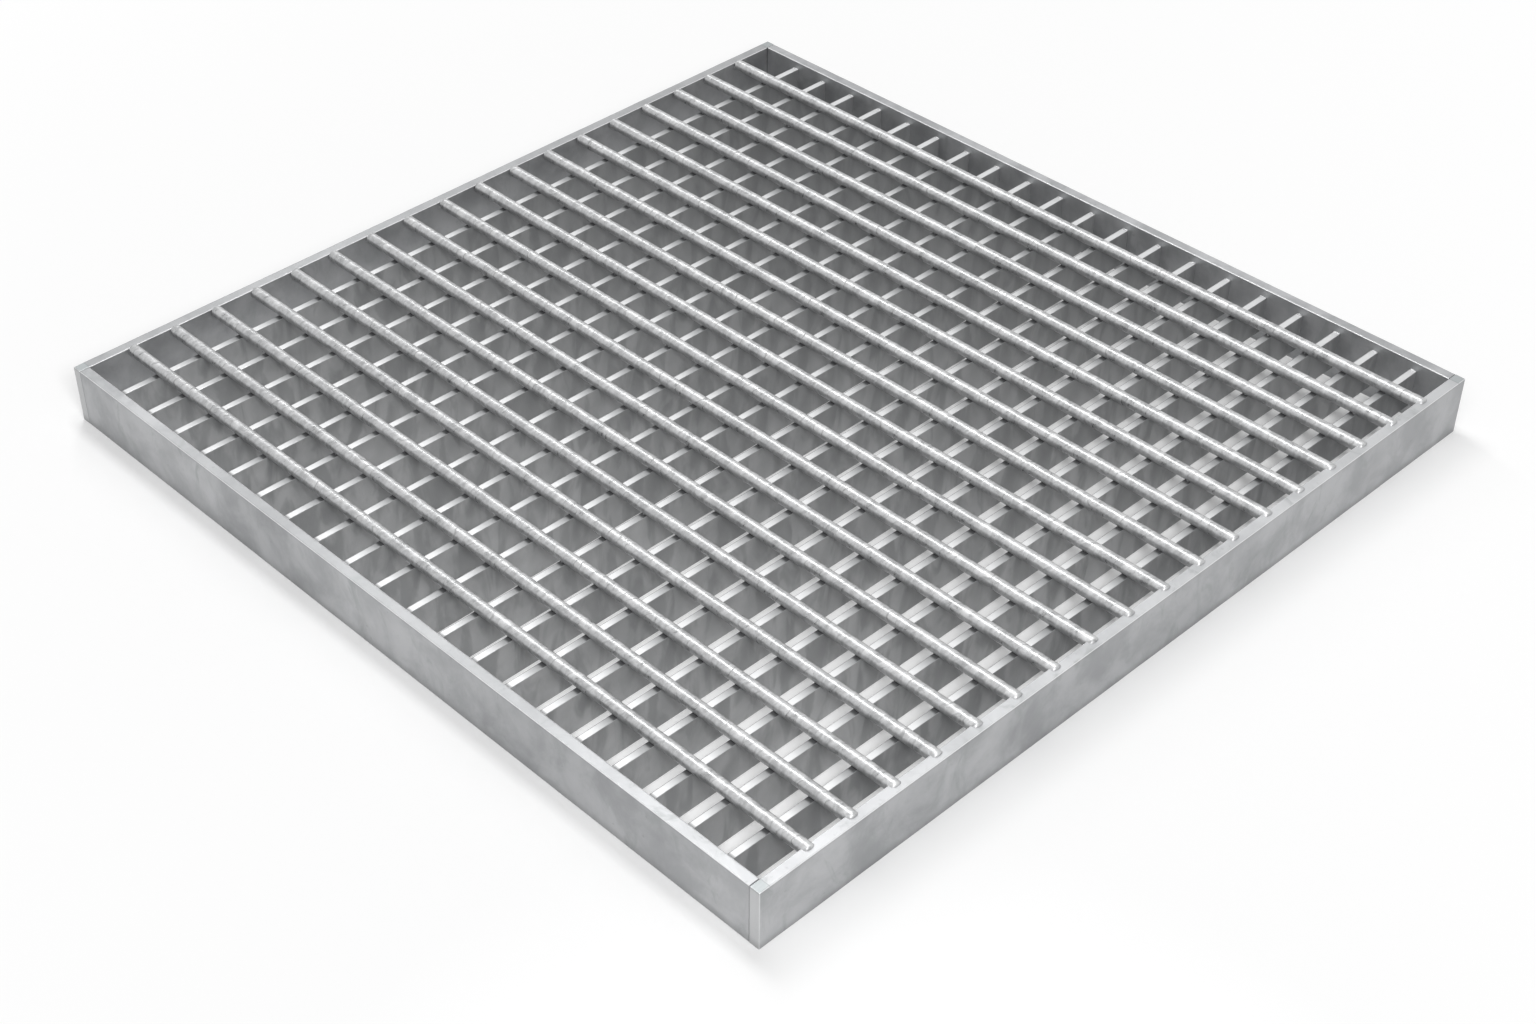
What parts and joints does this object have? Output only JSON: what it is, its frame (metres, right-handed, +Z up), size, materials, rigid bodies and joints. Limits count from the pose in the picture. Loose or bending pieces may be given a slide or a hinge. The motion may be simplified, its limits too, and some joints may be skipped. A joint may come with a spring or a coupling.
{
  "type": "steel grating panel",
  "caption": "Square welded steel grating panel: deep flat-bar banding around bearing bars on edge, with round cross rods welded over their tops.",
  "frame": {"origin": "middle of the footprint, on the plane of the banding's lower edges", "axes": "+X along the bearing bars, +Y along the cross rods, away from the banding bar that seats the rod ends, +Z up, out of the side that the rods lie on"},
  "size_m": [0.6, 0.6, 0.042],
  "materials": {
    "galvanised_banding": "hot-dip galvanised, satin with faint mottling",
    "galvanised_grid": "hot-dip galvanised, uneven zinc skin on the rods"
  },
  "bodies": {
    "root": {"front_band": "galvanised_banding", "back_band": "galvanised_banding", "left_band": "galvanised_banding", "right_band": "galvanised_banding", "bar_grid": "galvanised_grid"}
  },
  "joints": []
}
